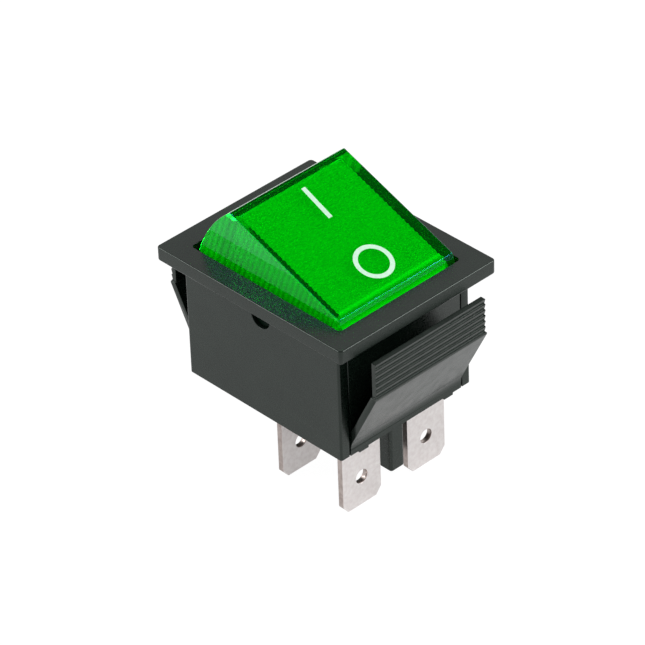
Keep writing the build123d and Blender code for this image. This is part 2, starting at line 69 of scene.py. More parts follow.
MERGE_DISTANCE = 0.0002 * MM
WELD_DISTANCE = 0.001 * MM
CREASE_ANGLE = math.radians(35.0)
NOISE_LOW, NOISE_HIGH = 0.3, 0.7
WHITE = (1.0, 1.0, 1.0, 1.0)
# Mesh attribute that holds each inner sheet's painted glow, standing in for light the clear walls carry.
PAINTED_GLOW = "glow"
cad_low, cad_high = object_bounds()
log = logging.getLogger("rocker_switch")

Colour = tuple[float, float, float]
Place = tuple[float, float, float]


class Side(Enum):
    """The two poles, named as they are in the frame."""

    LEFT = "left"
    RIGHT = "right"


class Mark(Enum):
    """The two printed signs on the rocker."""

    ON = "on_mark"
    OFF = "off_mark"


def put(name: str, data: bpy.types.ID) -> bpy.types.Object:
    """Makes an object of a mesh, lamp or camera and puts it in the scene."""
    made = bpy.data.objects.new(name, data)
    bpy.context.scene.collection.objects.link(made)
    return made


def finished_mesh(carrier: bpy.types.Object) -> bpy.types.Mesh:
    """The mesh that an object's modifiers leave. The object itself is removed."""
    evaluated = carrier.evaluated_get(bpy.context.evaluated_depsgraph_get())
    mesh = bpy.data.meshes.new_from_object(evaluated)
    bpy.data.objects.remove(carrier)
    return mesh


def shader_maths(tree: bpy.types.NodeTree, operation: str, *values: object) -> bpy.types.NodeSocket:
    """One sum in a material's or the world's tree.

    Args:
        tree: the node tree.
        operation: the Math node's operation.
        values: its inputs, each a socket to link or a number.

    Returns:
        The result.
    """
    added = tree.nodes.new("ShaderNodeMath")
    added.operation = operation
    for value, socket in zip(values, added.inputs):
        if isinstance(value, bpy.types.NodeSocket):
            tree.links.new(value, socket)
        else:
            socket.default_value = value
    return added.outputs[0]


class ShaderBoard:
    """A material's node tree, with short ways to add and join its nodes."""

    def __init__(self, name: str) -> None:
        """Makes an empty material with one Principled shader.

        Args:
            name: the material's name.
        """
        self.material = bpy.data.materials.new(name)
        self.material.use_nodes = True
        self.nodes = self.material.node_tree.nodes
        self.links = self.material.node_tree.links
        self.shader = self.nodes["Principled BSDF"]
        self.output = self.nodes["Material Output"]
        self.place = self.nodes.new("ShaderNodeTexCoord").outputs["Object"]

    def set(self, **values: float | Colour) -> None:
        """Sets sockets of the Principled shader; an underscore stands for a space in a socket's name."""
        for name, value in values.items():
            if isinstance(value, tuple):
                value = (*value, 1.0)
            self.shader.inputs[name.replace("_", " ")].default_value = value

    def feed(self, source: bpy.types.NodeSocket, name: str) -> None:
        """Links a value to a socket of the Principled shader."""
        self.links.new(source, self.shader.inputs[name])

    def noise(self, scale: float, detail: float = 2.0, stretch: Place = (1, 1, 1)) -> bpy.types.NodeSocket:
        """Noise in the object's own coordinates.

        Args:
            scale: grains in a metre.
            detail: octaves of finer grain.
            stretch: how much the grain is drawn out along each axis, as a share of the scale.

        Returns:
            The noise's value, about NOISE_LOW to NOISE_HIGH.
        """
        mapping = self.nodes.new("ShaderNodeMapping")
        mapping.inputs["Scale"].default_value = stretch
        texture = self.nodes.new("ShaderNodeTexNoise")
        texture.inputs["Scale"].default_value = scale
        texture.inputs["Detail"].default_value = detail
        self.links.new(self.place, mapping.inputs["Vector"])
        self.links.new(mapping.outputs["Vector"], texture.inputs["Vector"])
        return texture.outputs["Fac"]

    def spread(self, source: bpy.types.NodeSocket, low: float, high: float) -> bpy.types.NodeSocket:
        """Noise stretched to run from low to high.

        Args:
            source: a noise value.
            low: the result where the noise is NOISE_LOW.
            high: the result where the noise is NOISE_HIGH.

        Returns:
            The stretched value.
        """
        ramp = self.nodes.new("ShaderNodeMapRange")
        ramp.inputs["From Min"].default_value = NOISE_LOW
        ramp.inputs["From Max"].default_value = NOISE_HIGH
        ramp.inputs["To Min"].default_value = low
        ramp.inputs["To Max"].default_value = high
        self.links.new(source, ramp.inputs["Value"])
        return ramp.outputs["Result"]

    def blend(self, source: bpy.types.NodeSocket, first: Colour, second: Colour) -> bpy.types.NodeSocket:
        """A colour between two others.

        Args:
            source: a noise value that chooses between them.
            first: the colour where the noise is low.
            second: the colour where the noise is high.

        Returns:
            The blended colour.
        """
        mix = self.nodes.new("ShaderNodeMix")
        mix.data_type = "RGBA"
        mix.inputs["A"].default_value = (*first, 1.0)
        mix.inputs["B"].default_value = (*second, 1.0)
        self.links.new(self.spread(source, 0.0, 1.0), mix.inputs["Factor"])
        return mix.outputs["Result"]

    def relief(self, height: bpy.types.NodeSocket, depth: float) -> None:
        """Presses a height pattern into the surface.

        Args:
            height: the pattern, 0 to 1.
            depth: how deep it goes, in metres.
        """
        bump = self.nodes.new("ShaderNodeBump")
        bump.inputs["Strength"].default_value = 1.0
        bump.inputs["Distance"].default_value = depth
        self.links.new(height, bump.inputs["Height"])
        self.feed(bump.outputs["Normal"], "Normal")


@dataclass(frozen=True)
class SparkedNylon:
    """Black moulded nylon with a fine spark-eroded grain."""

    name: str = "sparked_nylon"
    deep: Colour = (0.002, 0.0055, 0.0035)
    pale: Colour = (0.005, 0.0098, 0.0068)
    mirror_tint: Colour = (0.86, 0.96, 0.9)
    ior: float = 1.5
    grain_scale: float = 4200.0
    cloud_scale: float = 420.0
    grain_depth: float = 0.0025 * MM
    shine_low: float = 0.24
    shine_high: float = 0.36

    def build(self) -> bpy.types.Material:
        """Makes the material."""
        board = ShaderBoard(self.name)
        board.set(IOR=self.ior, Specular_Tint=self.mirror_tint)
        grain = board.noise(self.grain_scale, detail=3.0)
        colour = board.blend(board.noise(self.cloud_scale, detail=4.0), self.deep, self.pale)
        board.feed(colour, "Base Color")
        board.feed(board.spread(grain, self.shine_low, self.shine_high), "Roughness")
        board.relief(grain, self.grain_depth)
        return board.material


@dataclass(frozen=True)
class ClearGreen:
    """The polished see-through green of the rocker's outer faces."""

    name: str = "clear_green"
    tint: Colour = (0.0, 0.95, 0.03)
    clearness: float = 0.955
    mirror_tint: Colour = (0.0, 0.45, 1.0)
    ior: float = 1.5
    roughness: float = 0.02
    wave_scale: float = 260.0
    wave_depth: float = 0.0015 * MM

    def build(self) -> bpy.types.Material:
        """Makes the material."""
        board = ShaderBoard(self.name)
        board.set(
            Base_Color=self.tint,
            Transmission_Weight=self.clearness,
            IOR=self.ior,
            Roughness=self.roughness,
            Specular_Tint=self.mirror_tint,
        )
        board.relief(board.noise(self.wave_scale, detail=1.0), self.wave_depth)
        return board.material


@dataclass(frozen=True)
class FrostedGreen:
    """A matt green inner face with a painted glow of its own, standing in for the light that the real clear
    walls pass on.
    """

    name: str
    deep: Colour
    pale: Colour
    glow_colour: Colour = (0.0, 1.0, 0.01)
    cloud_scale: float = 2200.0
    grain_scale: float = 3600.0
    grain_depth: float = 0.002 * MM
    roughness: float = 0.35
    mirror_level: float = 0.3

    def build(self) -> bpy.types.Material:
        """Makes the material."""
        board = ShaderBoard(self.name)
        board.set(
            Roughness=self.roughness, Specular_IOR_Level=self.mirror_level, Emission_Color=self.glow_colour
        )
        colour = board.blend(board.noise(self.cloud_scale, detail=3.0), self.deep, self.pale)
        board.feed(colour, "Base Color")
        # Painted light: the emission strength comes from the painted glow attribute.
        glow = board.nodes.new("ShaderNodeAttribute")
        glow.attribute_name = PAINTED_GLOW
        board.feed(glow.outputs["Fac"], "Emission Strength")
        board.relief(board.noise(self.grain_scale), self.grain_depth)
        return board.material


@dataclass(frozen=True)
class WhitePrint:
    """White pad-printed ink."""

    thin: Colour = (0.56, 0.86, 0.64)
    full: Colour = (0.68, 0.94, 0.76)
    grain_scale: float = 2600.0
    grain_depth: float = 0.003 * MM
    roughness: float = 0.38

    def build(self) -> bpy.types.Material:
        """Makes the material."""
        board = ShaderBoard("white_print")
        board.set(Roughness=self.roughness)
        grain = board.noise(self.grain_scale, detail=3.0)
        board.feed(board.blend(grain, self.thin, self.full), "Base Color")
        board.relief(grain, self.grain_depth)
        return board.material


@dataclass(frozen=True)
class Metal:
    """A metal with fine grain, drawn out along one axis where it was rolled."""

    name: str
    dark: Colour
    light: Colour
    grain_scale: float = 3000.0
    stretch: Place = (1.0, 1.0, 1.0)
    grain_depth: float = 0.004 * MM
    rough_low: float = 0.3
    rough_high: float = 0.45
    cloud_share: float = 0.5

    def build(self) -> bpy.types.Material:
        """Makes the material."""
        board = ShaderBoard(self.name)
        board.set(Metallic=1.0)
        grain = board.noise(self.grain_scale, 4.0, self.stretch)
        cloud = board.noise(self.grain_scale * self.cloud_share, detail=8.0)
        board.feed(board.blend(cloud, self.dark, self.light), "Base Color")
        board.feed(board.spread(grain, self.rough_low, self.rough_high), "Roughness")
        board.relief(grain, self.grain_depth)
        return board.material


@dataclass(frozen=True)
class Lacquer:
    """A painted or sleeved surface with a soft gloss."""

    name: str
    dark: Colour
    light: Colour
    roughness: float
    grain_scale: float = 2500.0
    grain_depth: float = 0.004 * MM

    def build(self) -> bpy.types.Material:
        """Makes the material."""
        board = ShaderBoard(self.name)
        board.set(Roughness=self.roughness)
        grain = board.noise(self.grain_scale, detail=3.0)
        board.feed(board.blend(grain, self.dark, self.light), "Base Color")
        board.relief(grain, self.grain_depth)
        return board.material


@dataclass(frozen=True)
class LampGlass:
    """The thin clear glass of the lamp, with a faint haze."""

    tint: Colour = (0.9, 0.92, 0.9)
    clearness: float = 0.9
    ior: float = 1.47
    haze_scale: float = 1500.0
    rough_low: float = 0.03
    rough_high: float = 0.12

    def build(self) -> bpy.types.Material:
        """Makes the material."""
        board = ShaderBoard("lamp_glass")
        board.set(Base_Color=self.tint, Transmission_Weight=self.clearness, IOR=self.ior)
        haze = board.noise(self.haze_scale)
        board.feed(board.spread(haze, self.rough_low, self.rough_high), "Roughness")
        return board.material


class RuleTree:
    """A Geometry Nodes tree with named inputs, which is run once and leaves a plain mesh."""

    def __init__(self, name: str, sizes: dict[str, float]) -> None:
        """Makes a tree whose inputs are the given sizes.

        Args:
            name: the tree's name.
            sizes: each input's name and value, in metres or as a number.
        """
        self.name = name
        self.sizes = sizes
        self.tree = bpy.data.node_groups.new(name, "GeometryNodeTree")
        interface = self.tree.interface
        interface.new_socket("Geometry", in_out="OUTPUT", socket_type="NodeSocketGeometry")
        self.identifiers = {}
        for size_name, value in sizes.items():
            kind = "NodeSocketInt" if isinstance(value, int) else "NodeSocketFloat"
            socket = interface.new_socket(size_name, in_out="INPUT", socket_type=kind)
            self.identifiers[size_name] = socket.identifier
        self.entry = self.node("NodeGroupInput")

    def node(self, kind: str, **settings: object) -> bpy.types.Node:
        """Adds a node.

        Args:
            kind: the node's type.
            settings: its properties.

        Returns:
            The new node.
        """
        added = self.tree.nodes.new(kind)
        for name, value in settings.items():
            setattr(added, name, value)
        return added

    def feed(self, value: object, socket: bpy.types.NodeSocket) -> None:
        """Links a socket or a named size to an input, or sets it to a plain value."""
        if isinstance(value, bpy.types.NodeSocket):
            self.tree.links.new(value, socket)
        elif isinstance(value, str):
            self.tree.links.new(self.entry.outputs[value], socket)
        else:
            socket.default_value = value

    def maths(self, operation: str, *values: object) -> bpy.types.NodeSocket:
        """One sum on sockets, named sizes or numbers.

        Args:
            operation: the Math node's operation.
            values: its one to three inputs.

        Returns:
            The result.
        """
        added = self.node("ShaderNodeMath", operation=operation)
        for index, value in enumerate(values):
            self.feed(value, added.inputs[index])
        return added.outputs[0]

    def held(self, value: object, low: object, high: object) -> bpy.types.NodeSocket:
        """A value kept between two others."""
        return self.maths("MINIMUM", self.maths("MAXIMUM", value, low), high)

    def position(self, x: object, y: object, z: object) -> bpy.types.NodeSocket:
        """A vector made of three sockets, named sizes or numbers."""
        joined = self.node("ShaderNodeCombineXYZ")
        for value, socket in zip((x, y, z), joined.inputs):
            self.feed(value, socket)
        return joined.outputs[0]

    def grid(self, columns: object, rows: object) -> tuple[bpy.types.NodeSocket, ...]:
        """A flat grid of points, with the number of the column and of the row that each stands in."""
        sheet = self.node("GeometryNodeMeshGrid")
        self.feed(columns, sheet.inputs["Vertices X"])
        self.feed(rows, sheet.inputs["Vertices Y"])
        index = self.node("GeometryNodeInputIndex").outputs[0]
        column = self.maths("FLOOR", self.maths("DIVIDE", index, rows))
        return sheet.outputs["Mesh"], column, self.maths("MODULO", index, rows)

    def glowing(self, geometry: bpy.types.NodeSocket, strength: object) -> bpy.types.NodeSocket:
        """Writes on each point how strongly its painted glow shines."""
        writer = self.node("GeometryNodeStoreNamedAttribute", data_type="FLOAT", domain="POINT")
        self.feed(geometry, writer.inputs["Geometry"])
        writer.inputs["Name"].default_value = PAINTED_GLOW
        self.feed(strength, writer.inputs["Value"])
        return writer.outputs[0]

    def moved(self, geometry: bpy.types.NodeSocket, place: bpy.types.NodeSocket) -> bpy.types.NodeSocket:
        """Puts each point of a geometry at the place a rule gives it."""
        mover = self.node("GeometryNodeSetPosition")
        self.feed(geometry, mover.inputs["Geometry"])
        self.feed(place, mover.inputs["Position"])
        return mover.outputs[0]

    def swept(self, path: bpy.types.NodeSocket, section: bpy.types.NodeSocket) -> bpy.types.NodeSocket:
        """A section carried along a path, with closed ends."""
        sweep = self.node("GeometryNodeCurveToMesh")
        self.feed(path, sweep.inputs["Curve"])
        self.feed(section, sweep.inputs["Profile Curve"])
        sweep.inputs["Fill Caps"].default_value = True
        return sweep.outputs["Mesh"]

    def joined(self, *parts: bpy.types.NodeSocket) -> bpy.types.NodeSocket:
        """Several geometries as one."""
        together = self.node("GeometryNodeJoinGeometry")
        for part in parts:
            self.feed(part, together.inputs[0])
        return together.outputs[0]

    def thick(self, sheet: bpy.types.NodeSocket, thickness: object) -> bpy.types.NodeSocket:
        """Gives a sheet a thickness towards its outer side and closes it.

        Args:
            sheet: an open surface.
            thickness: a socket, named size or number.

        Returns:
            The closed sheet.
        """
        grown = self.node("GeometryNodeExtrudeMesh")
        self.feed(sheet, grown.inputs["Mesh"])
        self.feed(thickness, grown.inputs["Offset Scale"])
        grown.inputs["Individual"].default_value = False
        turned = self.node("GeometryNodeFlipFaces")
        self.feed(sheet, turned.inputs[0])
        closed = self.node("GeometryNodeMergeByDistance")
        self.feed(self.joined(grown.outputs["Mesh"], turned.outputs[0]), closed.inputs["Geometry"])
        closed.inputs["Distance"].default_value = WELD_DISTANCE
        return closed.outputs[0]

    def run(self, geometry: bpy.types.NodeSocket, material: bpy.types.Material) -> bpy.types.Mesh:
        """Ends the tree, runs it on an empty mesh and takes the result.

        Args:
            geometry: the socket that holds the finished geometry.
            material: the finish of all its faces.

        Returns:
            The resulting mesh, with smooth faces.
        """
        realise = self.node("GeometryNodeRealizeInstances")
        smooth = self.node("GeometryNodeSetShadeSmooth")
        paint = self.node("GeometryNodeSetMaterial")
        paint.inputs["Material"].default_value = material
        exit_node = self.node("NodeGroupOutput")
        for step in (realise, smooth, paint):
            self.feed(geometry, step.inputs[0])
            geometry = step.outputs[0]
        self.feed(geometry, exit_node.inputs[0])
        carrier = put(self.name, bpy.data.meshes.new(self.name))
        modifier = carrier.modifiers.new(self.name, "NODES")
        modifier.node_group = self.tree
        for size_name, value in self.sizes.items():
            modifier[self.identifiers[size_name]] = value
        mesh = finished_mesh(carrier)
        mesh.set_sharp_from_angle(angle=CREASE_ANGLE)
        return mesh


def settle(name: str, mesh: bpy.types.Mesh) -> bpy.types.Object:
    """Puts a finished mesh in the scene as a piece at the origin.

    Args:
        name: the piece's name.
        mesh: its mesh, already in place.

    Returns:
        The piece.
    """
    mesh.name = name
    return put(name, mesh)


@dataclass
class CadCopy:
    """A CAD node's mesh as one smooth skin with softened edges."""

    node: str
    bevel: float = 0.05 * MM
    segments: int = 2
    sharp_deg: float = 32.0
    flat_deg: float = 0.4
    flat_weight: int = 100
    edge_share: Callable[[Vector, Vector], float] = lambda first, second: 1.0

    def merged(self) -> bpy.types.Mesh:
        """Copies the node's mesh, joins its loose triangles and clears the lines across flat faces.

        Returns:
            The new mesh.
        """
        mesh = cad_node(self.node).data.copy()
        work = bmesh.new()
        work.from_mesh(mesh)
        bmesh.ops.remove_doubles(work, verts=work.verts, dist=MERGE_DISTANCE)
        bmesh.ops.dissolve_limit(
            work, angle_limit=math.radians(self.flat_deg), verts=work.verts, edges=work.edges
        )
        weights = work.edges.layers.float.new("bevel_weight_edge")
        for edge in work.edges:
            sharp = len(edge.link_faces) == 2 and edge.calc_face_angle(0.0) > math.radians(self.sharp_deg)
            share = self.edge_share(edge.verts[0].co, edge.verts[1].co) if sharp and self.bevel > 0 else 0.0
            edge[weights] = share
            edge.smooth = share > 0 or not sharp
        for face in work.faces:
            face.smooth = True
        work.to_mesh(mesh)
        work.free()
        mesh.materials.clear()
        if mesh.attributes.get("custom_normal"):
            mesh.attributes.remove(mesh.attributes["custom_normal"])
        return mesh

    def build(self, name: str, finish: bpy.types.Material) -> bpy.types.Object:
        """Makes the piece and lets it stand for the node.

        Args:
            name: the piece's name.
            finish: its material.

        Returns:
            The piece, not yet riding on a body.
        """
        mesh = self.merged()
        mesh.materials.append(finish)
        carrier = put(name, mesh)
        if self.bevel > 0:
            rounding = carrier.modifiers.new("edges", "BEVEL")
            rounding.width = self.bevel
            rounding.segments = self.segments
            rounding.limit_method = "WEIGHT"
            rounding.use_clamp_overlap = False
        flatness = carrier.modifiers.new("flat_faces", "WEIGHTED_NORMAL")
        flatness.keep_sharp = True
        flatness.weight = self.flat_weight
        piece = settle(name, finished_mesh(carrier))
        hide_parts(self.node)
        return piece


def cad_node(name: str) -> bpy.types.Object:
    """A CAD node's object."""
    return frame["nodes"][name]


@dataclass
class Housing:
    """The black moulding: bezel, body, barrier and both snap wings."""

    rim_radius: float = 0.2 * MM
    edge_share: float = 0.3
    body_end: float = 12.975 * MM
    ridge_foot: float = 16.9 * MM
    wing_half_width: float = 9.5 * MM
    groove_depth: float = 0.3 * MM
    near: float = 0.05 * MM
    bezel_top: float = 1.9 * MM
    bezel_edge: float = 0.16 * MM
    least_tilt: float = 0.00005
    most_tilt: float = 0.97
    finish: SparkedNylon = field(default_factory=SparkedNylon)
    wing_finish: SparkedNylon = field(
        default_factory=lambda: SparkedNylon(
            "smooth_nylon", grain_scale=700.0, grain_depth=0.011 * MM, shine_low=0.17, shine_high=0.27
        )
    )

    def softness(self, first: Vector, second: Vector) -> float:
        """The share of the rim's radius an edge gets: all under the bezel, none on ridges or in grooves."""
        inner, outer = sorted((abs(first.x), abs(second.x)))
        between_wings = max(abs(first.y), abs(second.y)) < self.wing_half_width
        below_bezel = min(first.z, second.z) < -self.near
        if abs(first.z) < self.near and abs(second.z) < self.near:
            return 1.0
        on_ridges = inner > self.ridge_foot
        in_grooves = inner > self.body_end - self.groove_depth and outer < self.body_end + self.near
        if below_bezel and between_wings and (on_ridges or in_grooves):
            return 0.0
        return self.edge_share

    def build(self) -> list[bpy.types.Object]:
        """Makes the moulding with softened edges.

        Returns:
            The pieces made.
        """
        copy = CadCopy("housing", self.rim_radius, edge_share=self.softness)
        moulding = copy.build("housing_moulding", self.finish.build())
        moulding.data.materials.append(self.wing_finish.build())
        for face in moulding.data.polygons:
            on_wing = abs(face.center.x) > self.body_end + self.near and face.center.z < -self.near
            high = face.center.z > self.bezel_top - self.bezel_edge
            on_edge = high and self.least_tilt < face.normal.z < self.most_tilt
            face.material_index = int(on_wing or on_edge)
        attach(moulding, "housing")
        return [moulding]


@dataclass
class Rocker:
    """The see-through green rocker with its printed marks."""

    width: float = 18.7 * MM
    height: float = 8.5 * MM
    top_length: float = 19.0 * MM
    skirt_length: float = 24.2 * MM
    skirt_height: float = -2.0 * MM
    end_radius: float = 17.0 * MM
    side_wall: float = 1.1 * MM
    end_wall: float = 1.2 * MM
    top_plate: float = 1.1 * MM
    edge_radius: float = 0.1 * MM
    skin_depth: float = 0.22 * MM
    near: float = 0.02 * MM
    rib_pitch: float = 0.77 * MM
    rib_depth: float = 0.35 * MM
    rib_count: int = 23
    film_lift: float = 0.04 * MM
    film_thickness: float = 0.03 * MM
    film_corner: float = 0.9 * MM
    liner_gap: float = 0.12 * MM
    liner_rib_depth: float = 0.1 * MM
    liner_rib_count: int = 32
    liner_foot: float = -1.9 * MM
    liner_rows: int = 14
    lip_height: float = 1.2 * MM
    push_start: float = 8.4 * MM
    # Strengths of the painted glow on the inner sheets, standing in for light the clear walls carry: even on
    # the sides, brighter stripes on the ribs, a strip along the end lip, even on the prism film, and a
    # painted highlight line on the film's last rib.
    painted_side_glow: float = 0.1
    painted_stripe_glow: float = 0.18
    painted_lip_glow: float = 0.8
    painted_film_glow: float = 0.15
    painted_line_highlight: float = 0.3
    bar_place: tuple[float, float] = (-5.03 * MM, 0.57 * MM)
    ring_place: tuple[float, float] = (5.28 * MM, 0.27 * MM)
    mark_turn: float = math.radians(-2.7)
    mark_stroke: float = 0.6 * MM
    bar_length: float = 5.15 * MM
    ring_diameter: float = 5.05 * MM
    ink_height: float = 0.02 * MM
    ink_gap: float = 0.002 * MM
    ring_points: int = 96
    shell_finish: ClearGreen = field(default_factory=ClearGreen)
    film_finish: FrostedGreen = FrostedGreen("prism_green", (0.0, 0.4, 0.001), (0.0, 0.44, 0.001))
    liner_finish: FrostedGreen = FrostedGreen("wall_green", (0.0, 0.33, 0.003), (0.0, 0.4, 0.004))
    # Near-black painted shade for the green pins, which sit in dark holes.
    pin_shade_finish: ClearGreen = ClearGreen("pin_painted_shade", (0.0, 0.004, 0.001), 0.0, (0.0, 0.2, 0.2), 1.2, 0.5)
    print_finish: WhitePrint = field(default_factory=WhitePrint)

    def __post_init__(self) -> None:
        """Finds the rocker's own axes from the frame's joints: along its top, along its pivot, and up."""
        joints = {joint["name"]: joint for joint in frame["joints"]}
        self.pivot = Vector(joints["rocker_pivot"]["pos_m"])
        self.up = Vector(joints["plunger_left_slide"]["axis"]).normalized()
        self.across = Vector((0, 1, 0))
        self.along = self.across.cross(self.up)
        top_u, skirt_u = self.top_length / 2, self.skirt_length / 2
        chord = math.hypot(skirt_u - top_u, self.height - self.skirt_height)
        reach = math.sqrt(self.end_radius**2 - chord**2 / 4)
        self.arc_u = (top_u + skirt_u) / 2 - reach * (self.height - self.skirt_height) / chord
        self.arc_w = (self.height + self.skirt_height) / 2 - reach * (skirt_u - top_u) / chord

    def local(self, point: Vector) -> Vector:
        """A place in the rocker's own axes."""
        offset = point - self.pivot
        return Vector((offset.dot(self.along), offset.dot(self.across), offset.dot(self.up)))

    def placing(self, u: float, v: float, w: float) -> Matrix:
        """The matrix that carries a mesh made flat at the origin to a place on the rocker."""
        turn = Matrix((self.along, self.across, self.up)).transposed().to_4x4()
        spot = self.pivot + self.along * u + self.across * v + self.up * w
        return Matrix.Translation(spot) @ turn

    def outer_edge(self, first: Vector, second: Vector) -> float:
        """1 for an edge of the rocker's outside, which gets a round, and 0 for the others."""
        for place in (self.local(first), self.local(second)):
            end_depth = self.end_radius - math.hypot(abs(place.x) - self.arc_u, place.z - self.arc_w)
            depths = (self.width / 2 - abs(place.y), self.height - place.z, end_depth)
            if min(depths) > self.skin_depth:
                return 0.0
        return 1.0

    def shell(self) -> bpy.types.Object:
        """Makes the clear moulding; its pins get a near-black finish, painted shade for the dark holes they
        sit in.

        Returns:
            The piece.
        """
        copy = CadCopy("rocker_cap", self.edge_radius, edge_share=self.outer_edge)
        piece = copy.build("rocker_shell", self.shell_finish.build())
        piece.data.materials.append(self.pin_shade_finish.build())
        # Painted shade: faces beyond the sides, the pins, take the near-black pin finish.
        for face in piece.data.polygons:
            if abs(self.local(face.center).y) > self.width / 2 + self.near:
                face.material_index = 1
        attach(piece, "rocker")
        return piece

    def prism_film(self, finish: bpy.types.Material) -> bpy.types.Object:
        """Makes the skin of the prism ribs under the clear plate, with an even painted glow and a painted
        highlight line on its last rib near the pressed end.

        Args:
            finish: its material.

        Returns:
            The piece.
        """
        rule = RuleTree(
            "prism_film",
            {
                "Half Pitch": self.rib_pitch / 2,
                "Depth": self.rib_depth,
                "Columns": 2 * self.rib_count + 1,
                "Middle": float(self.rib_count),
                "Half Width": self.width / 2 - self.side_wall,
                "Corner": self.film_corner,
                "Painted Film Glow": self.painted_film_glow,
                "Painted Line Highlight": self.painted_line_highlight,
                "Thickness": self.film_thickness,
            },
        )
        sheet, column, row = rule.grid("Columns", 2)
        along = rule.maths("MULTIPLY", rule.maths("SUBTRACT", column, "Middle"), "Half Pitch")
        straight = rule.maths("SUBTRACT", rule.maths("MULTIPLY", "Middle", "Half Pitch"), "Corner")
        past = rule.maths("SUBTRACT", rule.maths("MULTIPLY", along, -1.0), straight)
        past = rule.held(past, 0.0, "Corner")
        rise = rule.maths(
            "SQRT", rule.maths("SUBTRACT", rule.maths("POWER", "Corner", 2.0), rule.maths("POWER", past, 2.0))
        )
        half_width = rule.maths("SUBTRACT", "Half Width", rule.maths("SUBTRACT", "Corner", rise))
        side = rule.maths("SUBTRACT", rule.maths("MULTIPLY", row, 2.0), 1.0)
        height = rule.maths("MULTIPLY", rule.maths("MODULO", column, 2.0), "Depth")
        place = rule.position(along, rule.maths("MULTIPLY", side, half_width), height)
        # Painted highlight: the last rib near the pressed end gets extra glow, on top of the film's even
        # painted glow.
        last_rib = rule.maths("SUBTRACT", "Columns", 2.0)
        on_highlight_rib = rule.maths("COMPARE", column, last_rib, 0.5)
        glow = rule.maths("ADD", "Painted Film Glow", rule.maths("MULTIPLY", on_highlight_rib, "Painted Line Highlight"))
        mesh = rule.run(rule.thick(rule.glowing(rule.moved(sheet, place), glow), "Thickness"), finish)
        underside = self.height - self.top_plate - self.rib_depth
        mesh.transform(self.placing(0.0, 0.0, underside + self.film_lift))
        piece = settle("prism_film", mesh)
        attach(piece, "rocker")
        return piece

    def arched(self, rule: RuleTree, radius: str, out: object, along: bool) -> bpy.types.NodeSocket:
        """Where the round end meets a distance from the arc's centre.

        Args:
            rule: the tree.
            radius: the named radius of the arc.
            out: the distance, measured along the top or up from the centre.
            along: True for the height over a place along the top, False for the place at a height.

        Returns:
            The height, or the place along the top.
        """
        first, second = ("Arc Along", "Arc Up") if along else ("Arc Up", "Arc Along")
        offset = rule.maths("SUBTRACT", out, first)
        square = rule.maths("SUBTRACT", rule.maths("POWER", radius, 2.0), rule.maths("POWER", offset, 2.0))
        return rule.maths("ADD", rule.maths("SQRT", rule.maths("MAXIMUM", square, 0.0)), second)

    def side_sheet(self, rule: RuleTree, facing: float, radius: str, reach: str) -> bpy.types.NodeSocket:
        """One ribbed side wall, as high as a round end's radius lets it be, with a painted glow that is
        brighter on its ribs.

        Args:
            rule: the tree.
            facing: -1 for the side towards -Y, 1 for the other.
            radius: the named radius.
            reach: the named half length.

        Returns:
            The closed sheet.
        """
        sheet, column, row = rule.grid("Columns", "Rows")
        odd = rule.maths("MODULO", column, 2.0)
        along = rule.maths("MULTIPLY", rule.maths("SUBTRACT", column, "Middle"), "Half Pitch")
        along = rule.held(along, rule.maths("MULTIPLY", reach, -1.0), reach)
        arch = self.arched(rule, radius, rule.maths("ABSOLUTE", along), True)
        tall = rule.maths("SUBTRACT", rule.maths("MINIMUM", arch, "Side Top"), "Foot")
        share = rule.maths("DIVIDE", row, rule.maths("SUBTRACT", "Rows", 1.0))
        height = rule.maths("ADD", "Foot", rule.maths("MULTIPLY", share, tall))
        past = rule.maths("SUBTRACT", rule.maths("ABSOLUTE", along), "Push Start")
        push = rule.held(past, 0.0, "Push")
        out = rule.maths("ADD", rule.maths("ADD", "Side Place", push), rule.maths("MULTIPLY", odd, "Depth"))
        place = rule.position(along, rule.maths("MULTIPLY", out, facing), height)
        # Painted light: an even glow, with brighter stripes painted on every other rib.
        glow = rule.maths("ADD", "Painted Side Glow", rule.maths("MULTIPLY", odd, "Painted Stripe Glow"))
        return rule.thick(rule.glowing(rule.moved(sheet, place), glow), "Thickness")

    def end_sheet(
        self,
        rule: RuleTree,
        facing: float,
        radius: str,
        near_half: str,
        levels: tuple[str, str],
        glow: str | float,
    ) -> bpy.types.NodeSocket:
        """One round sheet behind an end face, with a painted glow that is stronger towards its foot.

        Args:
            rule: the tree.
            facing: 1 for the end towards +X, -1 for the other.
            radius: the named radius.
            near_half: the named half width towards -Y.
            levels: the named heights of its lower and upper edge.
            glow: how strongly its foot's painted glow shines.

        Returns:
            The closed sheet.
        """
        sheet, column, row = rule.grid(2, "Rows")
        share = rule.maths("DIVIDE", row, rule.maths("SUBTRACT", "Rows", 1.0))
        tall = rule.maths("SUBTRACT", levels[1], levels[0])
        height = rule.maths("ADD", levels[0], rule.maths("MULTIPLY", share, tall))
        wide = rule.maths("ADD", near_half, "Cavity Half Width")
        across = rule.maths("SUBTRACT", rule.maths("MULTIPLY", column, wide), near_half)
        along = rule.maths("MULTIPLY", self.arched(rule, radius, height, False), facing)
        # Painted light: glow strongest at the sheet's foot and fading towards its top, over the even painted
        # side glow.
        lit = rule.maths("MULTIPLY", rule.maths("POWER", rule.maths("SUBTRACT", 1.0, share), 2.0), glow)
        lit = rule.maths("ADD", lit, "Painted Side Glow")
        curved = rule.glowing(rule.moved(sheet, rule.position(along, across, height)), lit)
        return rule.thick(curved, "Thickness")

